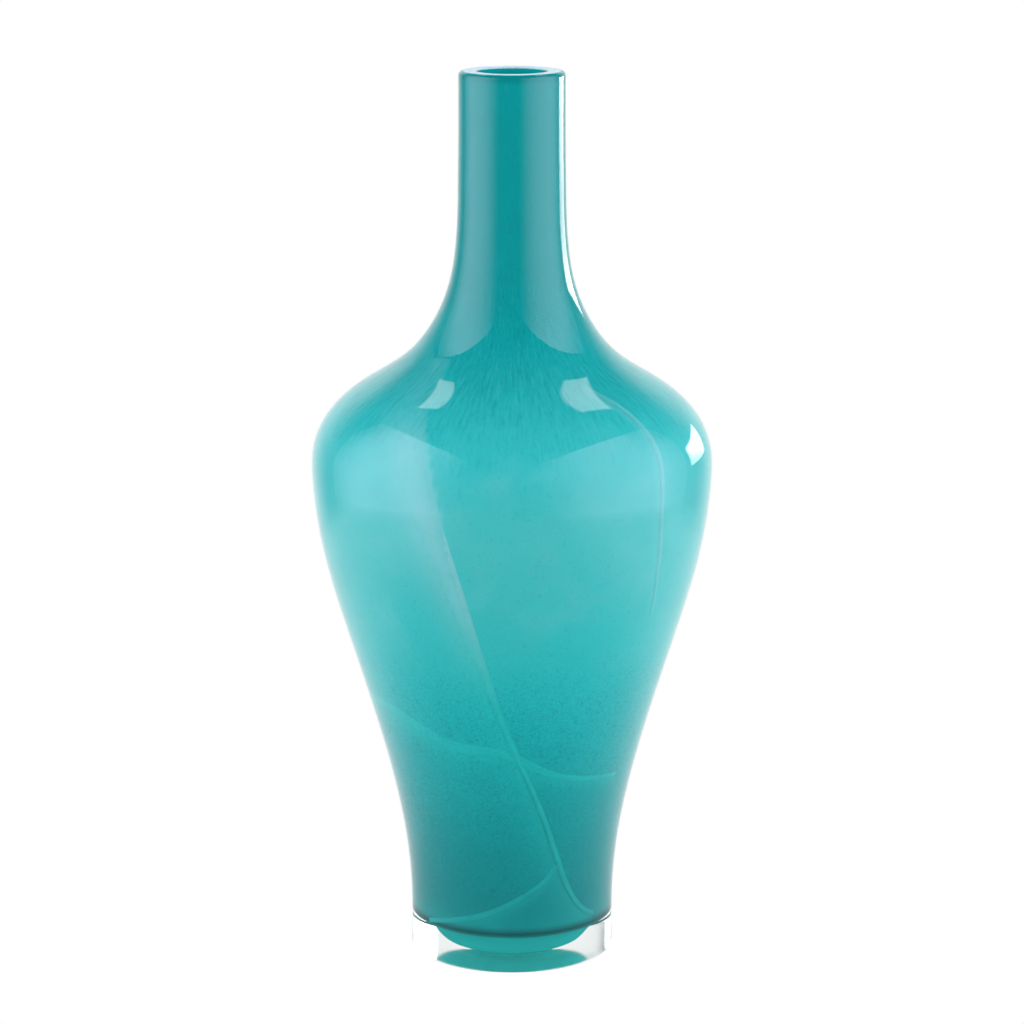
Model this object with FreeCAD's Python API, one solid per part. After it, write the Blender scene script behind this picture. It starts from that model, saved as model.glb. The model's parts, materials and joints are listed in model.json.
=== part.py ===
import FreeCAD, Part
import math
import os

os.makedirs("parts", exist_ok=True)

# Hand-blown vase in cased glass, millimetres. +Z runs up the axis and the origin is the centre of the foot's
# rest face. The vase is a thick clear casing gathered over a thin turquoise bubble, with pale opal trails
# fused between the two.

# Driving dimensions.
HEIGHT = 420.0
FOOT_RADIUS = 48.2
BELLY_RADIUS = 94.1
BELLY_HEIGHT = 235.0
NECK_RADIUS = 24.8
BORE_RADIUS = 16.5
CLEAR_WALL = 4.5  # clear casing over the foot and belly
CLEAR_LIP_WALL = 5.0  # clear casing at the lip
COLOUR_WALL = 2.0  # turquoise layer at its thinnest, on the belly
LAYER_FOOT = 18.0  # height where the turquoise layer's wall starts, above its domed underside
INNER_FLOOR = 18.5  # height of the floor inside the vase

# Edges and small features.
HEEL_ROUND = 1.4
LIP_ROUND = 2.2
BORE_ROUND = 0.8
INNER_CORNER = 4.0
PONTIL_RADIUS = 13.0
PONTIL_DEPTH = 1.0

# Stations up the outside of the wall, as (height, radius).
OUTER_STATIONS = [
    (HEEL_ROUND, FOOT_RADIUS),
    (24.0, FOOT_RADIUS),
    (55.0, 50.9),
    (80.0, 55.7),
    (105.0, 62.2),
    (155.0, 77.6),
    (205.0, 91.0),
    (222.0, 93.3),
    (BELLY_HEIGHT, BELLY_RADIUS),
    (246.0, 93.0),
    (256.0, 88.9),
    (266.0, 80.9),
    (276.0, 67.5),
    (288.0, 49.4),
    (300.0, 39.1),
    (315.0, 31.5),
    (335.0, 26.8),
    (370.0, 25.1),
    (HEIGHT - LIP_ROUND, NECK_RADIUS),
]

# Stations of the turquoise layer's underside from the axis out to its wall, as (radius, height). Its thick
# middle, left from the gather, sinks into the clear foot.
UNDERSIDE_STATIONS = [
    (0.0, 2.4),
    (9.0, 2.4),
    (16.5, 2.6),
    (21.0, 4.6),
    (24.3, 9.0),
    (30.0, 12.5),
    (36.0, 14.4),
    (41.0, 15.9),
]

# Heights where the swept walls are split into separate faces, which keeps their volumes exact.
WALL_BREAKS = [80.0, 150.0, BELLY_HEIGHT, 262.0, 290.0, 330.0]

# Routes of the opal trails on the turquoise layer, as (azimuth in degrees from +X, height, width). They were
# laid on hot from the shoulder down, so each starts wide and draws out thin. The front is at -90 degrees.
DIAGONAL_RISE = 1.2  # how far the heaviest trail stands out from the turquoise layer into the casing
TRAIL_RISE = 0.8  # the same for the other trails
TRAIL_SINK = 0.6  # how far its lofted section runs on behind the layer's surface, before it is trimmed
TRAIL_STEPS = 3  # lofted sections per stretch of route
TRAIL_DIAGONAL = [
    (-138.0, 289.0, 9.0),
    (-132.0, 274.0, 12.5),
    (-123.0, 258.0, 13.0),
    (-118.0, 243.0, 12.5),
    (-114.0, 224.0, 11.0),
    (-108.0, 195.0, 8.0),
    (-101.0, 157.0, 5.0),
    (-91.0, 119.0, 3.0),
    (-81.0, 94.0, 2.2),
    (-70.0, 69.0, 2.2),
    (-62.0, 51.0, 2.6),
    (-52.0, 34.5, 2.2),
    (-34.0, 22.5, 1.9),
]
TRAIL_RING = [
    (-184.0, 129.0, 2.2),
    (-164.0, 128.5, 4.0),
    (-143.0, 125.5, 5.5),
    (-126.0, 117.5, 6.0),
    (-109.0, 113.0, 5.5),
    (-93.0, 111.0, 5.0),
    (-81.0, 104.5, 4.5),
    (-68.0, 98.5, 3.6),
    (-50.0, 95.0, 2.8),
    (-32.0, 93.0, 2.0),
]
TRAIL_SHOULDER = [
    (-52.0, 277.0, 2.4),
    (-44.5, 268.0, 2.6),
    (-41.5, 257.0, 2.8),
    (-41.8, 240.0, 2.6),
    (-41.0, 212.0, 2.2),
    (-38.5, 176.0, 1.9),
]
TRAIL_FOOT = [
    (-148.0, 18.5, 1.9),
    (-122.0, 23.5, 2.4),
    (-100.0, 29.5, 2.8),
    (-84.0, 36.5, 2.6),
    (-73.0, 42.5, 2.4),
    (-64.0, 52.0, 2.4),
]


def at(radius, height):
    """A point of the half profile."""
    return FreeCAD.Vector(radius, 0, height)


def line(start, end):
    return Part.LineSegment(start, end).toShape()


def arc(start, middle, end):
    return Part.Arc(start, middle, end).toShape()


def quarter(start, end, centre):
    """A quarter circle from start to end about centre."""
    radius = start.distanceToPoint(centre)
    half_way = (start + end) * 0.5 - centre
    return arc(start, centre + half_way.normalize() * radius, end)


def wall(points):
    """A smooth wall curve, which is upright at the foot and at the lip."""
    upright = FreeCAD.Vector(0, 0, 1)
    curve = Part.BSplineCurve()
    curve.interpolate(Points=points, InitialTangent=upright, FinalTangent=upright)
    return curve


def parameter_at(curve, height):
    """The parameter where a wall curve reaches a height."""
    low, high = curve.FirstParameter, curve.LastParameter
    for _ in range(50):
        middle = (low + high) / 2
        if curve.value(middle).z < height:
            low = middle
        else:
            high = middle
    return low


def stretches(curve):
    """A wall curve as edges that meet at the wall breaks."""
    breaks = [parameter_at(curve, height) for height in WALL_BREAKS]
    stops = [curve.FirstParameter] + breaks + [curve.LastParameter]
    return [curve.toShape(start, end) for start, end in zip(stops, stops[1:])]


def span_at(height, below_belly, at_lip):
    """A thickness that is even up to the belly and blends from there to the lip."""
    share = max(0.0, (height - BELLY_HEIGHT) / (HEIGHT - BELLY_HEIGHT))
    return below_belly + (at_lip - below_belly) * share


def inset(curve, stations, spans):
    """Points inside the curve: one for each station, moved in along the curve's normal by its span."""
    points = []
    for (height, radius), span in zip(stations, spans):
        way = curve.tangent(parameter_at(curve, height))[0]
        inward = FreeCAD.Vector(-way.z, 0, way.x).normalize()
        points.append(at(radius, height) + inward * span)
    return points


def revolved(edges):
    """The solid swept by a closed half profile around the axis."""
    face = Part.Face(Part.Wire(Part.__sortEdges__(edges)))
    return face.revolve(FreeCAD.Vector(0, 0, 0), FreeCAD.Vector(0, 0, 1), 360)


def squared_off(points, low, high):
    """The points between two heights, with an upright end at exactly each of them."""
    kept = [p for p in points if low + 4.0 < p.z < high - 4.0]
    return [at(points[0].x, low)] + kept + [at(points[-1].x, high)]


def casing_profile(outer, layer_outer):
    """The clear casing: pontil hollow, heel, wall, rounded lip and the seat of the turquoise layer."""
    foot_inner = FOOT_RADIUS - HEEL_ROUND
    lip_inner = NECK_RADIUS - LIP_ROUND
    lip_start = HEIGHT - LIP_ROUND
    layer_radius = layer_outer.value(layer_outer.FirstParameter).x
    pontil = arc(at(0, PONTIL_DEPTH), at(PONTIL_RADIUS / 2, PONTIL_DEPTH * 0.75), at(PONTIL_RADIUS, 0))
    heel = quarter(at(foot_inner, 0), at(FOOT_RADIUS, HEEL_ROUND), at(foot_inner, HEEL_ROUND))
    lip = quarter(at(NECK_RADIUS, lip_start), at(lip_inner, HEIGHT), at(lip_inner, lip_start))
    return [
        pontil,
        line(at(PONTIL_RADIUS, 0), at(foot_inner, 0)),
        heel,
        *stretches(outer),
        lip,
        line(at(lip_inner, HEIGHT), layer_outer.value(layer_outer.LastParameter)),
        *stretches(layer_outer),
        underside(layer_radius),
        line(underside(layer_radius).Vertexes[0].Point, at(0, PONTIL_DEPTH)),
    ]


def underside(layer_radius):
    """The turquoise layer's underside, level at the axis and upright where it meets the layer's wall."""
    points = [at(radius, height) for radius, height in UNDERSIDE_STATIONS] + [at(layer_radius, LAYER_FOOT)]
    curve = Part.BSplineCurve()
    curve.interpolate(Points=points, InitialTangent=FreeCAD.Vector(1, 0, 0), FinalTangent=FreeCAD.Vector(0, 0, 1))
    return curve.toShape()


def layer_profile(layer_outer, layer_inner):
    """The turquoise layer: a bubble with a thick rounded bottom, open at the lip."""
    outer_radius = layer_outer.value(layer_outer.FirstParameter).x
    inner_radius = layer_inner.value(layer_inner.FirstParameter).x
    floor_radius = inner_radius - INNER_CORNER
    corner_top = INNER_FLOOR + INNER_CORNER
    bore_start = HEIGHT - BORE_ROUND
    bore_lip = BORE_RADIUS + BORE_ROUND
    bore_edge = quarter(at(BORE_RADIUS, bore_start), at(bore_lip, HEIGHT), at(bore_lip, bore_start))
    return [
        underside(outer_radius),
        *stretches(layer_outer),
        line(layer_outer.value(layer_outer.LastParameter), at(bore_lip, HEIGHT)),
        bore_edge,
        *stretches(layer_inner),
        quarter(at(inner_radius, corner_top), at(floor_radius, INNER_FLOOR), at(floor_radius, corner_top)),
        line(at(floor_radius, INNER_FLOOR), at(0, INNER_FLOOR)),
        line(at(0, INNER_FLOOR), underside(outer_radius).Vertexes[0].Point),
    ]


def on_layer(layer_outer, azimuth, height):
    """The point of the turquoise layer's outside at an azimuth and height, and the way out from it."""
    parameter = parameter_at(layer_outer, height)
    point = layer_outer.value(parameter)
    way = layer_outer.tangent(parameter)[0]
    turn = FreeCAD.Rotation(FreeCAD.Vector(0, 0, 1), azimuth)
    return turn.multVec(point), turn.multVec(FreeCAD.Vector(way.z, 0, -way.x).normalize())


def trail_section(point, out, across, width, rise):
    """A lens across a trail: a flat back sunk into the turquoise layer and a domed front in the casing."""
    reach = width / 2 * math.sqrt((rise + TRAIL_SINK) / rise)
    left = point - across * reach - out * TRAIL_SINK
    right = point + across * reach - out * TRAIL_SINK
    return Part.Wire([arc(right, point + out * rise, left), line(left, right)])


def trail(layer_outer, route, rise):
    """A thread of opal glass lofted along its route on the turquoise layer."""
    path = Part.BSplineCurve()
    path.interpolate([FreeCAD.Vector(azimuth, height, width) for azimuth, height, width in route])
    first, last = path.FirstParameter, path.LastParameter
    count = (len(route) - 1) * TRAIL_STEPS
    stops = [path.value(first + (last - first) * i / count) for i in range(count + 1)]
    places = [on_layer(layer_outer, stop.x, stop.y) for stop in stops]
    sections = []
    for i, (stop, (point, out)) in enumerate(zip(stops, places)):
        before = places[max(i - 1, 0)][0]
        after = places[min(i + 1, count)][0]
        across = out.cross(after - before).normalize()
        sections.append(trail_section(point, out, across, stop.z, rise))
    return Part.makeLoft(sections, True)


def save(shape, node):
    shape.exportStep("parts/" + node + ".step")
    print(node, "volume", round(shape.Volume, 1), "valid", shape.isValid(), "solids", len(shape.Solids))


# Wall curves, each set in from the last by the thickness of the glass between them.
outer_wall = wall([at(radius, height) for height, radius in OUTER_STATIONS])
inner_stations = [station for station in OUTER_STATIONS if station[0] > HEEL_ROUND]
colour_lip_wall = NECK_RADIUS - CLEAR_LIP_WALL - BORE_RADIUS
clear_spans = [span_at(height, CLEAR_WALL, CLEAR_LIP_WALL) for height, _ in inner_stations]
colour_spans = [span_at(height, COLOUR_WALL, colour_lip_wall) for height, _ in inner_stations]
full_spans = [clear + colour for clear, colour in zip(clear_spans, colour_spans)]

layer_outer = wall(squared_off(inset(outer_wall, inner_stations, clear_spans),
                               LAYER_FOOT, HEIGHT))
bore_points = squared_off(inset(outer_wall, inner_stations, full_spans),
                          INNER_FLOOR + INNER_CORNER, HEIGHT - BORE_ROUND)
bore_points[-1] = at(BORE_RADIUS, HEIGHT - BORE_ROUND)
layer_inner = wall(bore_points)

# The trails. The ring is crossed by the diagonal one, so it comes in a left and a right stretch.
casing = revolved(casing_profile(outer_wall, layer_outer))
turquoise_layer = revolved(layer_profile(layer_outer, layer_inner))
diagonal = trail(layer_outer, TRAIL_DIAGONAL, DIAGONAL_RISE).common(casing)
ring = trail(layer_outer, TRAIL_RING, TRAIL_RISE).common(casing).cut(diagonal)
ring_left, ring_right = sorted(ring.Solids, key=lambda solid: solid.CenterOfMass.x)
foot = trail(layer_outer, TRAIL_FOOT, TRAIL_RISE).common(casing).cut(diagonal)
shoulder = trail(layer_outer, TRAIL_SHOULDER, TRAIL_RISE).common(casing)

trails = {
    "trail_diagonal": diagonal,
    "trail_ring_left": ring_left,
    "trail_ring_right": ring_right,
    "trail_foot": foot,
    "trail_shoulder": shoulder,
}
for shape in trails.values():
    casing = casing.cut(shape)

save(casing, "clear_casing")
save(turquoise_layer, "turquoise_layer")
for node, shape in trails.items():
    save(shape, node)
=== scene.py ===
import json
import math

import bmesh
import bpy
import numpy as np
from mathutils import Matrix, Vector
from mathutils.bvhtree import BVHTree

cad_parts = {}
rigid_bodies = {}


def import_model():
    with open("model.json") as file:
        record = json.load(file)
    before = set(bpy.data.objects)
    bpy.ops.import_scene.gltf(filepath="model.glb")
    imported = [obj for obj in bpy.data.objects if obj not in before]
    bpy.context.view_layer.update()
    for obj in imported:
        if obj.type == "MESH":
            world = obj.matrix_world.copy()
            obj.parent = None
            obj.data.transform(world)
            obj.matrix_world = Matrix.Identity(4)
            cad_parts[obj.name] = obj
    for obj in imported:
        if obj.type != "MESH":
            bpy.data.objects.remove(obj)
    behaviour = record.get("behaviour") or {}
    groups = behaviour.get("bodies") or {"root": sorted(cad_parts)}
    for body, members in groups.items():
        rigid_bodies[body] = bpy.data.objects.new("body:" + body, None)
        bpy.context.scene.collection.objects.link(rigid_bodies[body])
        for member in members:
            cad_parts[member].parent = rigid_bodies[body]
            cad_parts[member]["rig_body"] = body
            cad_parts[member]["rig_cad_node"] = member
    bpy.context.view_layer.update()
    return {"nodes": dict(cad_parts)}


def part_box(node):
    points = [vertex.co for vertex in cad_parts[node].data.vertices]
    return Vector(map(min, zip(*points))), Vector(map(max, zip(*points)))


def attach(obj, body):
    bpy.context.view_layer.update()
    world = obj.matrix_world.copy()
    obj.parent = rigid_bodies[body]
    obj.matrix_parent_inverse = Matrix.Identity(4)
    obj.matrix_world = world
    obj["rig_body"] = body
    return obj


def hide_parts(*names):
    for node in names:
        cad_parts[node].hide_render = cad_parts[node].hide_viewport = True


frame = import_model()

# Hand-blown vase in cased glass: a turquoise layer and pale opal trails inside a thick clear casing. The
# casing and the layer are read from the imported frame, in metres, and turned again as finer, smoother meshes.
# The trails keep the meshes that they have there.

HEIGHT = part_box("clear_casing")[1].z
SEGMENTS = 224  # steps around the axis
STATION_GAP = 0.006  # between the points read from a CAD wall
RING_GAP = 0.0016  # between the rings of a turned wall
ROUND_STEPS = 8  # steps around a small rounded edge
SEAT_OVERLAP = 0.00015  # how far the casing's seat is tucked behind the turquoise layer's surface
FLOOR_GAP = 0.0002  # the film of air under the ground foot
AXIS = 1e-7  # a radius below this is on the axis
SAME = 1e-4  # heights closer than this belong to one flat
LEVEL = 2e-5  # how far a flat's vertices may lie off its height
SLACK = 1e-6  # the allowance for rounded coordinates
HEEL_ZONE = 0.003  # the rounded heel and the pontil hollow lie below this height
LIP_ZONE = 0.004  # the lip's rounded edges lie within this depth of its flat
BACK_FROM = 0.01  # the wall is read beyond this distance behind the axis, where no trail lies
WALL_FACING = 0.2  # the least outward or inward part of the normal of a polygon in the wall
UNDERSIDE_GAP = 0.0006  # between the points read from the layer's underside
SLOPE_STEP = 0.0005  # half the height over which a wall's slope is measured

# Camera, as shares of the vase's height.
CAMERA_DISTANCE = 3.981 * HEIGHT
CAMERA_HEIGHT = 1.3905 * HEIGHT
CAMERA_TILT = math.radians(12.54)
CAMERA_LENS = 127.6  # millimetres, as the sensor's width
CAMERA_SENSOR = 36.0

GLASS_IOR = 1.5

# Lighting, in metres and in multiples of the white background's brightness.
SOFTBOX_DISTANCE = 1.2
SOFTBOX_TINT = (0.96, 0.91, 1.14)
SOFTBOX_FRONT = (0.5, 0.05)  # the share of the panel dimmed towards an edge, and the brightness at the edge
SOFTBOX_BACK = (0.4, 0.15)
SOFTBOX_FOOT = (0.28, 0.0)
SHARP = (0.02, 0.5)
SOFT = (0.15, 0.0)
FLOOR_RADIUS = 14.0
DISC_SEGMENTS = 96
TABLE_FADE = (0.6, 0.85)  # where the table top fades out of the reflections
TABLE_BACKWARD = (-0.2, 0.15, 0.15, 1.0)  # from and to, along +Y, then the levels there
TABLE_SIDEWAYS = (0.2, 0.55)  # from and to, along X either way, where it brightens to TABLE_SIDE
TABLE_SIDE = 1.05

# The room's brightness by direction: from and to, as parts of the unit direction, then the levels there.
ROOM_BACKWARD = (0.6, 0.92, 0.0, 0.75)  # by +Y, the wall behind the vase
ROOM_SIDEWAYS = (-0.8, 0.3, 0.06, 0.25)  # by +Y, from the front round to the sides
ROOM_OVERHEAD = (0.35, 0.6, 1.0, 0.15)  # by +Z, multiplied in
ROOM_THROUGH = (0.3, 0.65, 0.0, 0.95)  # by +Y, the least level for what shows through clear glass

# Trails. One side of each is crisp and the other runs out into the turquoise layer as haze.
SOFT_EDGE = 0.6  # milkiness at a trail's soft edge, as a share of its crest's
CRISP_REACH = 0.0015  # how far under a trail's crisp half its haze carries on
RIGHT, UP = Vector((1, 0, 0)), Vector((0, 0, 1))
# Each node's crisp side, reach of its haze, and milkiness as (share of the vase's height, value) pairs.
TRAILS = {
    "trail_diagonal": (RIGHT, 0.026, [(0.05, 0.35), (0.25, 0.6), (0.35, 0.6), (0.5, 0.85),
                                      (0.57, 0.8), (0.61, 0.6), (0.645, 0.2)]),
    "trail_ring_left": (UP, 0.014, [(0.2, 0.55), (0.35, 0.5)]),
    "trail_ring_right": (UP, 0.01, [(0.2, 0.5), (0.35, 0.5)]),
    "trail_foot": (UP, 0.01, [(0.0, 0.35), (0.15, 0.45)]),
    "trail_shoulder": (RIGHT, 0.008, [(0.4, 0.15), (0.5, 0.35), (0.62, 0.5), (0.67, 0.2)]),
}

# Dark lines painted into the layer: painted shade at the foot of its wall, where it turns under, and a dark
# line under its lip. Each gives its height over its edge, half width, and strength.
FOOT_SHADE_LINE = (0.0, 0.0035, 0.9)
LIP_LINE = (-0.0024, 0.0013, 0.5)


# ---------------------------------------------------------------- shapes read from the frame


def node_arrays(node):
    """A CAD node's vertices, and for each polygon its vertex numbers and its normal."""
    mesh = frame["nodes"][node].data
    points = np.empty(len(mesh.vertices) * 3)
    mesh.vertices.foreach_get("co", points)
    normals = np.empty(len(mesh.polygons) * 3)
    mesh.polygons.foreach_get("normal", normals)
    corners = [tuple(polygon.vertices) for polygon in mesh.polygons]
    return points.reshape(-1, 3), corners, normals.reshape(-1, 3)


def wall_points(node, way):
    """Sorted (height, radius) pairs of a node's wall: way is 1 for the outside and -1 for the inside. They
    are read at the back, where no trail lies."""
    points, corners, normals = node_arrays(node)
    chosen = set()
    for polygon, normal in zip(corners, normals):
        middle = points[list(polygon)].mean(axis=0)
        radial = (normal[0] * middle[0] + normal[1] * middle[1]) / max(1e-9, math.hypot(*middle[:2]))
        if middle[1] > BACK_FROM and radial * way > WALL_FACING:
            chosen.update(polygon)
    pairs = {(round(points[i][2], 6), round(math.hypot(*points[i][:2]), 6)) for i in chosen}
    return sorted(pairs)


def spline(heights, radii):
    """A natural cubic spline as a function that takes an array of heights."""
    x, y = np.array(heights), np.array(radii)
    gaps = np.diff(x)
    slopes = np.diff(y) / gaps
    system = np.zeros((len(x), len(x)))
    right = np.zeros(len(x))
    system[0, 0] = system[-1, -1] = 1.0
    for i in range(1, len(x) - 1):
        system[i, i - 1:i + 2] = gaps[i - 1], 2 * (gaps[i - 1] + gaps[i]), gaps[i]
        right[i] = 6 * (slopes[i] - slopes[i - 1])
    bend = np.linalg.solve(system, right)

    def value(at):
        at = np.clip(np.asarray(at, float), x[0], x[-1])
        k = np.clip(np.searchsorted(x, at) - 1, 0, len(gaps) - 1)
        ahead, behind = x[k + 1] - at, at - x[k]
        cubic = (bend[k] * ahead ** 3 + bend[k + 1] * behind ** 3) / (6 * gaps[k])
        line_a = (y[k] / gaps[k] - bend[k] * gaps[k] / 6) * ahead
        line_b = (y[k + 1] / gaps[k] - bend[k + 1] * gaps[k] / 6) * behind
        return cubic + line_a + line_b

    return value


def wall(node, way, low, high):
    """The radius of a node's wall as a smooth function of height, from low to high."""
    pairs = [p for p in wall_points(node, way) if low - SLACK <= p[0] <= high + SLACK]
    kept = [pairs[0]]
    for pair in pairs:
        if pair[0] - kept[-1][0] >= STATION_GAP and pairs[-1][0] - pair[0] >= STATION_GAP / 2:
            kept.append(pair)
    kept.append(pairs[-1])
    return spline([p[0] for p in kept], [p[1] for p in kept])


def flat_span(node, height):
    """The smallest and largest radius of a node's vertices at a height."""
    points, _, _ = node_arrays(node)
    level = points[np.abs(points[:, 2] - height) < LEVEL]
    radii = np.hypot(level[:, 0], level[:, 1])
    return radii.min(), radii.max()


# ---------------------------------------------------------------- turning


def rise(radius_at, low, high):
    """Points up a wall from low to high, evenly spread along its length."""
    heights = np.linspace(low, high, 2000)
    radii = radius_at(heights)
    along = np.concatenate([[0], np.cumsum(np.hypot(np.diff(heights), np.diff(radii)))])
    count = max(2, int(along[-1] / RING_GAP))
    stops = np.interp(np.linspace(0, along[-1], count + 1), along, heights)
    return [(float(radius_at(z)), float(z)) for z in stops]


def rounding(centre, radius, start, end, steps=ROUND_STEPS):
    """Points around an edge, from start to end degrees about its centre, ends included."""
    angles = [math.radians(start + (end - start) * i / steps) for i in range(steps + 1)]
    return [(centre[0] + radius * math.cos(a), centre[1] + radius * math.sin(a)) for a in angles]


def flat_points(start, end, steps):
    """Points along a flat, after its start and before its end."""
    return [(start[0] + (end[0] - start[0]) * i / steps, start[1] + (end[1] - start[1]) * i / steps)
            for i in range(1, steps)]


def turned(name, path, bands):
    """A solid turned around the axis from a half profile that starts and ends on it. Each band is the number
    of the profile point it starts at, and its material's number."""
    mesh = bmesh.new()
    rings = []
    for radius, height in path:
        if radius < AXIS:
            rings.append([mesh.verts.new((0, 0, height))] * SEGMENTS)
            continue
        angles = [2 * math.pi * i / SEGMENTS for i in range(SEGMENTS)]
        rings.append([mesh.verts.new((radius * math.cos(a), radius * math.sin(a), height)) for a in angles])
    for k, (low, high) in enumerate(zip(rings, rings[1:])):
        band = [material for start, material in bands if start <= k][-1]
        for i in range(SEGMENTS):
            j = (i + 1) % SEGMENTS
            corners = list(dict.fromkeys([low[i], low[j], high[j], high[i]]))
            face = mesh.faces.new(corners)
            face.smooth = True
            face.material_index = band
    return finished(name, mesh)


def finished(name, mesh):
    """A bmesh as an object in the scene."""
    data = bpy.data.meshes.new(name)
    mesh.to_mesh(data)
    mesh.free()
    made = bpy.data.objects.new(name, data)
    bpy.context.scene.collection.objects.link(made)
    return made


# ---------------------------------------------------------------- materials


class Graph:
    """The nodes of a material, a light or the room, with short calls to add and join them."""

    def __init__(self, owner):
        owner.use_nodes = True
        self.nodes = owner.node_tree.nodes
        self.links = owner.node_tree.links

    def put(self, socket, value):
        """A plain value, or another node's output, into a socket."""
        if isinstance(value, bpy.types.NodeSocket):
            self.links.new(value, socket)
        else:
            socket.default_value = value

    def add(self, kind, settings=None, **inputs):
        made = self.nodes.new(kind)
        for key, value in (settings or {}).items():
            setattr(made, key, value)
        for key, value in inputs.items():
            self.put(made.inputs[key.replace("_", " ")], value)
        return made

    def math(self, operation, *values):
        made = self.nodes.new("ShaderNodeMath")
        made.operation = operation
        for socket, value in zip(made.inputs, values):
            self.put(socket, value)
        return made.outputs[0]

    def vector_math(self, operation, *values):
        made = self.nodes.new("ShaderNodeVectorMath")
        made.operation = operation
        for socket, value in zip(made.inputs, values):
            self.put(socket, value)
        return made.outputs["Value" if operation == "LENGTH" else "Vector"]

    def span(self, value, low, high, to_low=0.0, to_high=1.0):
        """A value's smooth share of the way from low to high, brought to another span."""
        made = self.add("ShaderNodeMapRange", {"interpolation_type": "SMOOTHSTEP"})
        for socket, number in zip(made.inputs, (value, low, high, to_low, to_high)):
            self.put(socket, number)
        return made.outputs[0]

    def mix(self, share, first, second, blend="MIX"):
        made = self.add("ShaderNodeMix", {"data_type": "RGBA", "blend_type": blend})
        self.put(made.inputs[0], share)
        self.put(made.inputs[6], first)
        self.put(made.inputs[7], second)
        return made.outputs[2]

    def noise(self, vector, scale, detail=2.0, roughness=0.5, distortion=0.0):
        made = self.add("ShaderNodeTexNoise", None, Vector=vector, Scale=scale, Detail=detail,
                        Roughness=roughness, Distortion=distortion)
        return made.outputs[0]

    def ramp(self, value, stops):
        made = self.nodes.new("ShaderNodeValToRGB")
        self.put(made.inputs[0], value)
        band = made.color_ramp
        band.interpolation = "B_SPLINE"
        while len(band.elements) < len(stops):
            band.elements.new(0.5)
        for element, (place, colour) in zip(band.elements, stops):
            element.position = place
            element.color = (*colour, 1.0)
        return made.outputs[0]

    def attribute(self, name):
        return self.add("ShaderNodeAttribute", {"attribute_name": name}).outputs["Fac"]

    def parts(self, vector):
        """A vector's X, Y and Z."""
        return self.add("ShaderNodeSeparateXYZ", None, Vector=vector).outputs

    def vector(self, **parts):
        """A vector of the X, Y and Z that are given, with zero for the rest."""
        return self.add("ShaderNodeCombineXYZ", None, **parts).outputs[0]


class Surface(Graph):
    """A new material's nodes, around its shader."""

    def __init__(self, name):
        self.material = bpy.data.materials.new(name)
        super().__init__(self.material)
        self.shader = self.nodes["Principled BSDF"]

    def position(self):
        return self.add("ShaderNodeTexCoord").outputs["Object"]

    def shade(self, **inputs):
        """Plain values, or other nodes' outputs, for the shader's inputs."""
        for key, value in inputs.items():
            self.put(self.shader.inputs[key.replace("_", " ")], value)


# The turquoise glass by height, as a share of the vase's, in linear colour. It is partly the glass's own
# colour, deeper where the glass stays thick at the neck and foot, and partly painted light: brighter over the
# belly and shoulder than the lamps make them, and lighter on the underside, as painted light from the floor
# below.
TEALS_WITH_PAINTED_LIGHT = [
    (0.0, (0.01, 0.50, 0.46)),
    (0.03, (0.01, 0.48, 0.45)),
    (0.055, (0.001, 0.34, 0.34)),
    (0.1, (0.001, 0.37, 0.375)),
    (0.17, (0.004, 0.45, 0.45)),
    (0.25, (0.01, 0.555, 0.55)),
    (0.32, (0.02, 0.65, 0.645)),
    (0.38, (0.05, 0.70, 0.68)),
    (0.46, (0.08, 0.685, 0.67)),
    (0.54, (0.1, 0.70, 0.68)),
    (0.6, (0.055, 0.665, 0.65)),
    (0.66, (0.022, 0.55, 0.55)),
    (0.71, (0.007, 0.465, 0.46)),
    (0.77, (0.003, 0.395, 0.385)),
    (1.0, (0.002, 0.375, 0.37)),
]
DEEP_TEAL = (0.0, 0.2, 0.2, 1.0)
# The colour of the painted shade line at the layer's foot and of the dark line under its lip.
LINE_TEAL = (0.0, 0.08, 0.085, 1.0)
OPAL = (0.36, 0.8, 0.82, 1.0)
LOW_OPAL = (0.03, 0.76, 0.7, 1.0)  # the trails' thin lower ends, tinted by the glass under them
TRAIL_LEVEL = 0.65  # how far a trail's own relief is hidden in the casing, which it is fused into
LIP_DARK = (0.38, 0.58, 0.62, 1.0)
LIP_PALE = (0.48, 0.66, 0.71, 1.0)
CASING_TINT = (0.975, 0.995, 0.99, 1.0)
WHITE = (1.0, 1.0, 1.0, 1.0)
BLACK = (0.0, 0.0, 0.0, 1.0)

POLISHED = 0.0  # roughness of each kind of surface
INSIDE = 0.06
GROUND = 0.12
FROSTED = 0.3
FUSED = 0.6
PAINTED = 0.9

# Where patterns in the turquoise glass come in and go out, as shares of the vase's height.
FRIT_IN, FRIT_OUT = (0.56, 0.66), (0.72, 0.82)
MOTTLE_IN, MOTTLE_OUT = (0.03, 0.1), (0.42, 0.3)
CLOUD_IN, CLOUD_OUT = (0.34, 0.44), (0.66, 0.58)
OPAL_IN = (0.3, 0.48)  # where the trails' glass turns from LOW_OPAL to OPAL


def flecked(graph, colour, flecks, band, strength, tint):
    """A colour with flecks of a tint in it, within a band of heights."""
    share = graph.math("MULTIPLY", flecks, graph.math("MULTIPLY", band, strength))
    return graph.mix(share, colour, tint)


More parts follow.
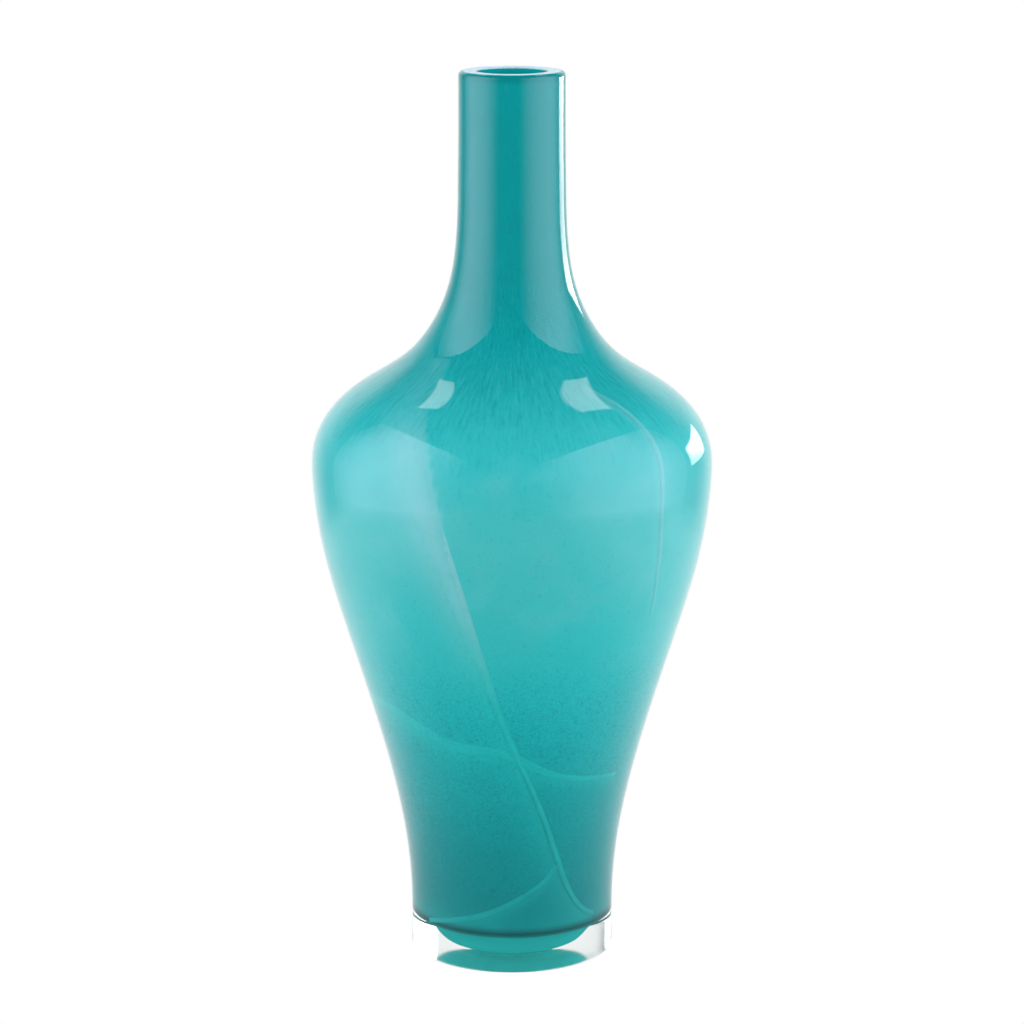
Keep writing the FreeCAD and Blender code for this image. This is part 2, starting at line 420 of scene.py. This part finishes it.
def layer_colour(graph):
    """The turquoise glass's colour: deep where the glass stays thick at the neck and foot, milky where it is
    blown thin over the belly, with drawn-out frit above and fine mottling below. Its height ramp also holds
    painted light: the belly and shoulder are painted brighter, and the underside is painted lighter as if lit
    from below."""
    position = graph.position()
    parts = graph.parts(position)
    height = graph.math("DIVIDE", parts["Z"], HEIGHT)
    drift = graph.noise(position, 22.0, detail=3.0, distortion=0.6)
    wander = graph.math("MULTIPLY_ADD", graph.math("SUBTRACT", drift, 0.5), 0.06, height)
    # Painted light in the height ramp: a brighter belly and shoulder, and a lighter underside.
    colour = graph.ramp(wander, TEALS_WITH_PAINTED_LIGHT)

    # Frit drawn out up the wall where the neck was pulled.
    around = graph.parts(graph.vector_math("NORMALIZE", graph.vector(X=parts["X"], Y=parts["Y"])))
    drawn = graph.vector(X=around["X"], Y=around["Y"], Z=graph.math("MULTIPLY", parts["Z"], 4.0))
    streaks = graph.noise(drawn, 46.0, detail=4.0, roughness=0.7)
    pulled = graph.math("MULTIPLY", graph.span(height, *FRIT_IN), graph.span(height, *FRIT_OUT, 1.0, 0.4))
    colour = flecked(graph, colour, graph.span(streaks, 0.47, 0.72), pulled, 0.34, DEEP_TEAL)
    colour = flecked(graph, colour, graph.span(streaks, 0.46, 0.3), pulled, 0.08, OPAL)

    # Fine even grains all over.
    grain = graph.noise(position, 620.0, detail=2.0, roughness=0.6)
    colour = graph.mix(graph.span(grain, 0.55, 0.75, 0.0, 0.15), colour, DEEP_TEAL)

    # Worm-like mottling low on the body.
    worms = graph.noise(position, 260.0, detail=2.0, roughness=0.5, distortion=2.2)
    low = graph.math("MULTIPLY", graph.span(height, *MOTTLE_IN), graph.span(height, *MOTTLE_OUT))
    ridge = graph.math("ABSOLUTE", graph.math("SUBTRACT", worms, 0.5))
    colour = flecked(graph, colour, graph.span(ridge, 0.05, 0.0), low, 0.38, DEEP_TEAL)

    # Cloudy opal in the belly.
    clouds = graph.noise(position, 34.0, detail=4.0, roughness=0.5, distortion=0.4)
    belly = graph.math("MULTIPLY", graph.span(height, *CLOUD_IN), graph.span(height, *CLOUD_OUT))
    share = graph.math("MULTIPLY", graph.span(clouds, 0.42, 0.75, 0.0, 0.16), belly)
    return graph.mix(share, colour, OPAL)


def milk(graph):
    """The trails' milky glass, clearer low on the body."""
    height = graph.parts(graph.position())["Z"]
    return graph.mix(graph.span(height, *(HEIGHT * share for share in OPAL_IN)), LOW_OPAL, OPAL)


def fused_turquoise():
    """The turquoise glass's outside. It is fused into the casing, so it has no surface of its own and no
    gloss. The trails' haze, the painted shade at the foot of its wall and the dark line under its lip lie in
    it."""
    graph = Surface("turquoise_fused")
    colour = graph.mix(graph.attribute("haze"), layer_colour(graph), milk(graph))
    # Painted shade at the foot of the wall, and the dark line under the lip.
    colour = graph.mix(graph.attribute("shade"), colour, LINE_TEAL)
    graph.shade(Base_Color=colour, Roughness=FUSED, Specular_IOR_Level=0.0)
    return graph.material


def inside_turquoise():
    """The turquoise glass's inside, glossy where it meets the air."""
    graph = Surface("turquoise_inside")
    graph.shade(Base_Color=layer_colour(graph), Roughness=INSIDE, Specular_IOR_Level=0.5)
    return graph.material


def opal():
    """Opal trail: milky, crisp at one edge and fading into the turquoise at the other."""
    graph = Surface("opal_trail")
    position = graph.position()
    clouds = graph.noise(position, 120.0, detail=4.0, roughness=0.6)
    body = graph.span(graph.attribute("across"), -1.0, 0.4, SOFT_EDGE, 1.0)
    share = graph.math("MULTIPLY", body, graph.span(clouds, 0.25, 0.7, 0.8, 1.1))
    share = graph.math("MULTIPLY", share, graph.attribute("milkiness"))

    # Its normals are levelled towards those of the wall that it lies on.
    flat = graph.vector_math("NORMALIZE", graph.vector_math("MULTIPLY", position, (1.0, 1.0, 0.0)))
    lean = graph.vector(Z=graph.attribute("lean"))
    away = graph.vector_math("NORMALIZE", graph.vector_math("ADD", flat, lean))
    level = graph.add("ShaderNodeMix", {"data_type": "VECTOR"})
    graph.put(level.inputs[0], TRAIL_LEVEL)
    graph.put(level.inputs[4], graph.add("ShaderNodeNewGeometry").outputs["Normal"])
    graph.put(level.inputs[5], away)
    graph.shade(Base_Color=graph.mix(share, layer_colour(graph), milk(graph)),
                Normal=graph.vector_math("NORMALIZE", level.outputs[1]),
                Roughness=FUSED, Specular_IOR_Level=0.0)
    return graph.material


def lip_edge():
    """The flat of the ground lip, which the grinding leaves pale and frosted."""
    graph = Surface("ground_lip")
    grain = graph.noise(graph.position(), 900.0, detail=3.0, roughness=0.6)
    graph.shade(Base_Color=graph.mix(graph.span(grain, 0.35, 0.7), LIP_DARK, LIP_PALE), Roughness=FROSTED)
    return graph.material


def clear_glass(name, roughness):
    """The casing's clear glass, polished or ground, with the faint waviness of a blown surface."""
    graph = Surface(name)
    waves = graph.noise(graph.position(), 26.0, detail=2.0, roughness=0.4)
    bump = graph.add("ShaderNodeBump", None, Strength=0.08, Distance=0.0006, Height=waves)
    graph.shade(Normal=bump.outputs[0], Base_Color=CASING_TINT, Roughness=roughness, IOR=GLASS_IOR,
                Transmission_Weight=1.0)
    return graph.material


# ---------------------------------------------------------------- the vase


def underside(inner_floor):
    """The layer's domed underside, as evenly spread points from the axis out to the foot of its wall."""
    points, _, _ = node_arrays("turquoise_layer")
    low = sorted((math.hypot(x, y), z) for x, y, z in points if z < inner_floor - SAME)
    pairs = [(0.0, low[0][1])]
    for pair in low:
        if math.dist(pair, pairs[-1]) > UNDERSIDE_GAP:
            pairs.append(pair)
    radii, heights = np.array(pairs).T
    along = np.concatenate([[0], np.cumsum(np.hypot(np.diff(radii), np.diff(heights)))])
    stops = np.linspace(0, along[-1], int(along[-1] / RING_GAP) + 1)
    return [(float(r), float(z)) for r, z in zip(spline(along, radii)(stops), spline(along, heights)(stops))]


def corner_size(pairs, bottom, flat):
    """The radius of the quarter round between a flat bottom and the wall of the given points: the first that
    has risen as far above the bottom as it lies out from the flat."""
    rises = [(z - bottom, r - flat) for z, r in pairs]
    return min(up for up, out in rises if up > SAME and up >= out - 2 * SLACK)


def pontil_hollow(rim):
    """The shallow hollow under the foot, from the axis out to its rim."""
    points, _, _ = node_arrays("clear_casing")
    radii = np.hypot(points[:, 0], points[:, 1])
    depth = points[(radii < rim) & (points[:, 2] < HEEL_ZONE), 2].max()
    ball = (rim ** 2 + depth ** 2) / (2 * depth)
    sweep = math.degrees(math.asin(rim / ball))
    centre = (0.0, depth - ball)
    path = rounding(centre, ball, 90, 90 - sweep, 12)
    return [(0.0, depth)] + path[1:-1] + [(rim, 0.0)]


class Profile:
    """The vase's half profile, read once from the frame."""

    def __init__(self):
        self.foot_inner, self.foot_outer = flat_span("clear_casing", 0.0)
        self.lip_outer = flat_span("clear_casing", HEIGHT)[1]
        outside = wall_points("clear_casing", 1)
        self.heel_round = max(r for z, r in outside if z < HEEL_ZONE) - self.foot_outer
        self.lip_round = max(r for z, r in outside if z > HEIGHT - LIP_ZONE) - self.lip_outer
        self.outside = wall("clear_casing", 1, self.heel_round, HEIGHT - self.lip_round)
        points, corners, normals = node_arrays("turquoise_layer")
        level = [points[c[0]][2] for c, normal in zip(corners, normals) if normal[2] > 0.999]
        self.inner_floor = float(np.median([z for z in level if z < HEIGHT / 2]))
        self.underside = underside(self.inner_floor)
        self.layer_foot = self.underside[-1][1]
        self.layer = wall("turquoise_layer", 1, self.layer_foot, HEIGHT)
        self.bore_lip = flat_span("turquoise_layer", HEIGHT)[0]
        inside = wall_points("turquoise_layer", -1)
        self.bore_round = self.bore_lip - min(r for z, r in inside if z > HEIGHT - LIP_ZONE)
        inner_flat = flat_span("turquoise_layer", self.inner_floor)[1]
        self.inner_corner = corner_size(inside, self.inner_floor, inner_flat)
        self.inside_foot = self.inner_floor + self.inner_corner
        self.inside = wall("turquoise_layer", -1, self.inside_foot, HEIGHT - self.bore_round)


def make_casing(shape):
    """The clear casing: pontil hollow, ground foot, heel, wall, rounded lip and the layer's seat."""
    path = pontil_hollow(shape.foot_inner)
    path += flat_points((shape.foot_inner, 0.0), (shape.foot_outer, 0.0), 8)
    heel = len(path)
    path += rounding((shape.foot_outer, shape.heel_round), shape.heel_round, -90, 0)
    path += rise(shape.outside, shape.heel_round, HEIGHT - shape.lip_round)[1:-1]
    path += rounding((shape.lip_outer, HEIGHT - shape.lip_round), shape.lip_round, 0, 90)
    lip = len(path) - 1
    path += flat_points((shape.lip_outer, HEIGHT), (float(shape.layer(HEIGHT)), HEIGHT), 3)
    seat = len(path)
    for radius, height in reversed(rise(shape.layer, shape.layer_foot, HEIGHT)):
        tuck = SEAT_OVERLAP * min(1.0, (HEIGHT - height) / LIP_ZONE)
        path.append((radius - tuck, height))
    for radius, height in reversed(shape.underside[:-1]):
        path.append((max(0.0, radius - SEAT_OVERLAP), height + SEAT_OVERLAP))
    return turned("clear_casing_glass", path, [(0, 1), (heel, 0), (lip, 2), (seat, 0)])


def make_layer(shape):
    """The turquoise layer: its fused outside up to the lip, then the ground lip and the glossy inside."""
    path = shape.underside + rise(shape.layer, shape.layer_foot, HEIGHT)[1:]
    lip = len(path) - 1
    path += flat_points(path[-1], (shape.bore_lip, HEIGHT), 3)
    path += rounding((shape.bore_lip, HEIGHT - shape.bore_round), -shape.bore_round, -90, 0, 6)
    bore = len(path) - 1
    path += rise(shape.inside, shape.inside_foot, HEIGHT - shape.bore_round)[-2:0:-1]
    centre = (float(shape.inside(shape.inside_foot)) - shape.inner_corner, shape.inside_foot)
    path += rounding(centre, shape.inner_corner, 0, -90, 10)
    path += flat_points(path[-1], (0.0, shape.inner_floor), 10) + [(0.0, shape.inner_floor)]
    return turned("turquoise_bubble", path, [(0, 0), (lip, 1), (bore, 2)])


def make_trail(node, shape, crisp_side, milkiness):
    """A trail, with each point's lean of the wall under it, place across it, from -1 at the soft edge to 1 at
    the crisp one, and milkiness."""
    made = frame["nodes"][node].copy()
    made.data = made.data.copy()
    made.name = node + "_glass"
    made.data.materials.clear()
    bpy.context.scene.collection.objects.link(made)
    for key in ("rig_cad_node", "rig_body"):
        del made[key]
    made.parent = None
    vertices = made.data.vertices
    lifts = np.array([stands_out(vertex.co, shape) for vertex in vertices])
    store(made, "lean", [-slope(vertex.co.z, shape) for vertex in vertices])
    sides = np.array([math.copysign(1, vertex.normal.dot(crisp_side)) for vertex in vertices])
    store(made, "across", sides * np.sqrt(1 - np.clip(lifts / lifts.max(), 0, 1)))
    heights, values = zip(*milkiness)
    store(made, "milkiness", np.interp([vertex.co.z / HEIGHT for vertex in vertices], heights, values))
    return made


def stands_out(point, shape):
    """How far a point stands outside the turquoise layer, square to its wall."""
    radius = math.hypot(point.x, point.y)
    return (radius - float(shape.layer(point.z))) / math.hypot(1.0, slope(point.z, shape))


def slope(height, shape):
    """How fast the turquoise layer's wall widens at a height."""
    above, below = shape.layer(height + SLOPE_STEP), shape.layer(height - SLOPE_STEP)
    return float(above - below) / (2 * SLOPE_STEP)


def store(made, name, values):
    """A number for each vertex, which the materials read."""
    attribute = made.data.attributes.new(name, "FLOAT", "POINT")
    attribute.data.foreach_set("value", np.asarray(values, np.float32))


def haze_from(layer, node, crisp_side, reach, milkiness):
    """The milkiness that runs out from a trail's soft half, for each vertex of the layer."""
    points, corners, normals = node_arrays(node)
    soft_half = []
    for polygon, normal in zip(corners, normals):
        middle = points[list(polygon)].mean(axis=0)
        if normal[0] * middle[0] + normal[1] * middle[1] > 0 and Vector(normal).dot(crisp_side) < 0:
            soft_half.append(polygon)
    tree = BVHTree.FromPolygons(points.tolist(), soft_half)
    heights, values = zip(*milkiness)
    haze = np.zeros(len(layer.data.vertices))
    for i, vertex in enumerate(layer.data.vertices):
        nearest, _, _, distance = tree.find_nearest(vertex.co, reach)
        if nearest is None:
            continue
        span = reach if (vertex.co - nearest).dot(crisp_side) < 0 else CRISP_REACH
        left = max(0.0, 1 - distance / span)
        haze[i] = left ** 3 * np.interp(vertex.co.z / HEIGHT, heights, values)
    return SOFT_EDGE * haze


def painted_edge_lines(layer, shape):
    """The strength at each vertex of the painted shade line at the foot of the layer's wall and of the dark
    line under its lip.
    """
    heights = np.array([vertex.co.z for vertex in layer.data.vertices])
    lines = []
    for edge, (over, half_width, strength) in ((shape.layer_foot, FOOT_SHADE_LINE), (HEIGHT, LIP_LINE)):
        off = np.abs(heights - edge - over)
        lines.append(strength * np.clip(1 - off / half_width, 0, 1))
    return np.maximum(*lines)


# ---------------------------------------------------------------- light and camera


def outward(azimuth, elevation=0.0):
    """The direction from the vase at an azimuth, 0 in front and growing towards the right."""
    turn, up = math.radians(azimuth), math.radians(elevation)
    flat = math.cos(up)
    return Vector((math.sin(turn) * flat, -math.cos(turn) * flat, math.sin(up)))


def area_light(name, centre, towards, size, radiance, colour=WHITE[:3]):
    """A rectangular area light of a given brightness, which the camera sees only through or in the glass."""
    width, tall = size
    light = bpy.data.lights.new(name, "AREA")
    light.shape = "RECTANGLE"
    light.size = width
    light.size_y = tall
    light.energy = radiance * math.pi * width * tall
    light.color = colour
    made = bpy.data.objects.new(name, light)
    made.location = centre
    made.rotation_euler = (centre - towards).to_track_quat("Z", "Y").to_euler()
    made.visible_camera = False
    bpy.context.scene.collection.objects.link(made)
    return made


def dim_edges(light, low_side, high_side, foot, top):
    """Dims a panel towards its edges. Each edge gives the share of the panel that dims towards it, and the
    brightness at the edge itself. The low side is the one at the smaller azimuth."""
    graph = Graph(light.data)
    parts = graph.parts(graph.add("ShaderNodeNewGeometry").outputs["Parametric"])
    total = 1.0
    for axis, (share, level), far in (("X", low_side, 0), ("X", high_side, 1), ("Y", foot, 0), ("Y", top, 1)):
        step = graph.span(parts[axis], far, abs(far - share), level, 1.0)
        total = graph.math("MULTIPLY", total, step)
    graph.put(graph.nodes["Emission"].inputs["Strength"], total)


def softbox(name, facing, edges, heights, radiance):
    """An upright softbox in a plane at SOFTBOX_DISTANCE, between two azimuths, the front one first, and two
    heights."""
    reach = [SOFTBOX_DISTANCE * math.tan(math.radians(edge - facing)) for edge in edges]
    middle = outward(facing) * SOFTBOX_DISTANCE + Vector((0, 0, sum(heights) / 2))
    centre = middle + outward(facing + 90) * sum(reach) / 2
    size = (abs(reach[1] - reach[0]), heights[1] - heights[0])
    light = area_light(name, centre, centre - outward(facing), size, radiance, SOFTBOX_TINT)
    sides = (SOFTBOX_FRONT, SOFTBOX_BACK) if edges[0] > 0 else (SOFTBOX_BACK, SOFTBOX_FRONT)
    dim_edges(light, *sides, SOFTBOX_FOOT, SHARP)


def fill(name, azimuth, elevation, distance, size, radiance):
    """A soft light that only lights: it doesn't show in reflections."""
    towards = Vector((0, 0, HEIGHT / 2))
    light = area_light(name, towards + outward(azimuth, elevation) * distance, towards, size, radiance)
    light.visible_glossy = False


def lamp(name, azimuth, elevation, distance, size, radiance, roll=0, foot=SOFT):
    """A small panel that faces the vase's shoulder."""
    towards = Vector((0, 0, 0.65 * HEIGHT))
    light = area_light(name, towards + outward(azimuth, elevation) * distance, towards, size, radiance)
    light.rotation_euler.rotate_axis("Z", math.radians(roll))
    dim_edges(light, SOFT, SOFT, foot, SOFT)


def studio():
    """Two tall softboxes at the sides, small panels behind, and a room that is white behind the vase."""
    softbox("softbox_left", -74, (-28, -120), (-0.8, 1.76), 2.2)
    softbox("softbox_right", 66, (16, 116), (-0.8, 1.76), 2.0)
    fill("fill_left", -100, 2, 1.5, (1.0, 1.5), 1.7)
    fill("fill_right", 100, 2, 1.5, (1.0, 1.5), 1.7)
    fill("fill_above", 0, 88, 1.5, (1.2, 1.2), 3.3)
    fill("fill_front", 0, 18, 1.5, (1.0, 0.8), 3.0)
    lamp("window_left", -138.5, 56.5, 1.9, (0.25, 0.32), 2.9)
    lamp("window_right", 138, 57.5, 1.9, (0.32, 0.52), 2.9, roll=6)
    lamp("kicker", 131, 3, 1.1, (0.51, 0.29), 8.5, foot=(0.7, 0.4))
    room()


def room():
    """The surroundings: white where the camera sees them directly. In the glass they are bright behind the
    vase and dark in front and overhead."""
    world = bpy.data.worlds.new("room")
    bpy.context.scene.world = world
    graph = Graph(world)
    parts = graph.parts(graph.add("ShaderNodeTexCoord").outputs["Generated"])
    levels = graph.math("ADD", graph.span(parts["Y"], *ROOM_BACKWARD), graph.span(parts["Y"], *ROOM_SIDEWAYS))
    shaded = graph.math("MULTIPLY", levels, graph.span(parts["Z"], *ROOM_OVERHEAD))
    rays = graph.add("ShaderNodeLightPath").outputs
    through = graph.math("MULTIPLY", rays["Is Transmission Ray"], graph.span(parts["Y"], *ROOM_THROUGH))
    pick = graph.add("ShaderNodeMix")
    graph.put(pick.inputs[0], rays["Is Camera Ray"])
    graph.put(pick.inputs[2], graph.math("MAXIMUM", shaded, through))
    graph.put(pick.inputs[3], 1.0)
    background = graph.nodes["Background"]
    graph.put(background.inputs["Strength"], pick.outputs[0])
    graph.put(background.inputs["Color"], WHITE)


def floor():
    """A white floor that runs out of sight. The reflections in the glass show a table top in its place, which
    fades out all round, so that they aren't washed out by so much white."""
    bright = disc("floor", FLOOR_GAP, FLOOR_RADIUS)
    bright.data.materials.append(glowing("floor_white").material)
    bright.visible_glossy = False
    bright.visible_shadow = False

    table = disc("table_top", 2 * FLOOR_GAP, TABLE_FADE[1])
    graph = glowing("table_paint")
    position = graph.position()
    parts = graph.parts(position)
    back = graph.span(parts["Y"], *TABLE_BACKWARD)
    side = graph.span(graph.math("ABSOLUTE", parts["X"]), *TABLE_SIDEWAYS)
    glow = graph.math("MULTIPLY_ADD", side, graph.math("SUBTRACT", TABLE_SIDE, back), back)
    fade = graph.span(graph.vector_math("LENGTH", position), *TABLE_FADE, 1.0, 0.0)
    graph.shade(Emission_Strength=glow, Alpha=fade)
    table.data.materials.append(graph.material)
    table.visible_camera = False
    table.visible_diffuse = False
    table.visible_transmission = False
    table.visible_shadow = False


def disc(name, depth, radius):
    """A flat disc below the foot's rest face."""
    mesh = bmesh.new()
    bmesh.ops.create_circle(mesh, cap_ends=True, segments=DISC_SEGMENTS, radius=radius)
    made = finished(name, mesh)
    made.location.z = -depth
    return made


def glowing(name):
    """Black paint that gives off white light, so that its brightness doesn't depend on what lights it."""
    graph = Surface(name)
    graph.shade(Base_Color=BLACK, Roughness=PAINTED, Specular_IOR_Level=0.0, Emission_Color=WHITE,
                Emission_Strength=1.0)
    return graph


def camera():
    """The view from the front, from a little above the lip and tilted down."""
    data = bpy.data.cameras.new("camera")
    data.lens = CAMERA_LENS
    data.sensor_width = CAMERA_SENSOR
    data.dof.use_dof = False
    made = bpy.data.objects.new("camera", data)
    made.location = (0, -CAMERA_DISTANCE, CAMERA_HEIGHT)
    made.rotation_euler = (math.radians(90) - CAMERA_TILT, 0, 0)
    bpy.context.scene.collection.objects.link(made)
    bpy.context.scene.camera = made


# ---------------------------------------------------------------- put together


def place(made, node, slot, *materials):
    """Gives a piece its materials, hides the CAD node that it stands for, and puts it in the root body."""
    for material in materials:
        made.data.materials.append(material)
    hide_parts(node)
    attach(made, "root")


def build_vase():
    """The casing, the layer and the trails. The trails' haze, the painted shade line at the wall's foot and
    the dark line under the lip are stored on the layer.
    """
    shape = Profile()
    ground_lip = lip_edge()
    place(make_casing(shape), "clear_casing", "clear_glass", clear_glass("clear_glass", POLISHED),
          clear_glass("ground_glass", GROUND), ground_lip)
    layer = make_layer(shape)
    place(layer, "turquoise_layer", "turquoise_glass", fused_turquoise(), ground_lip, inside_turquoise())
    trail_glass = opal()
    haze = np.zeros(len(layer.data.vertices))
    for node, (crisp_side, reach, milkiness) in TRAILS.items():
        made = make_trail(node, shape, crisp_side, milkiness)
        haze = np.maximum(haze, haze_from(layer, node, crisp_side, reach, milkiness))
        place(made, node, "opal_glass", trail_glass)
    store(layer, "haze", haze)
    store(layer, "shade", painted_edge_lines(layer, shape))


build_vase()
floor()
studio()
camera()
bpy.context.scene.view_settings.view_transform = "Standard"
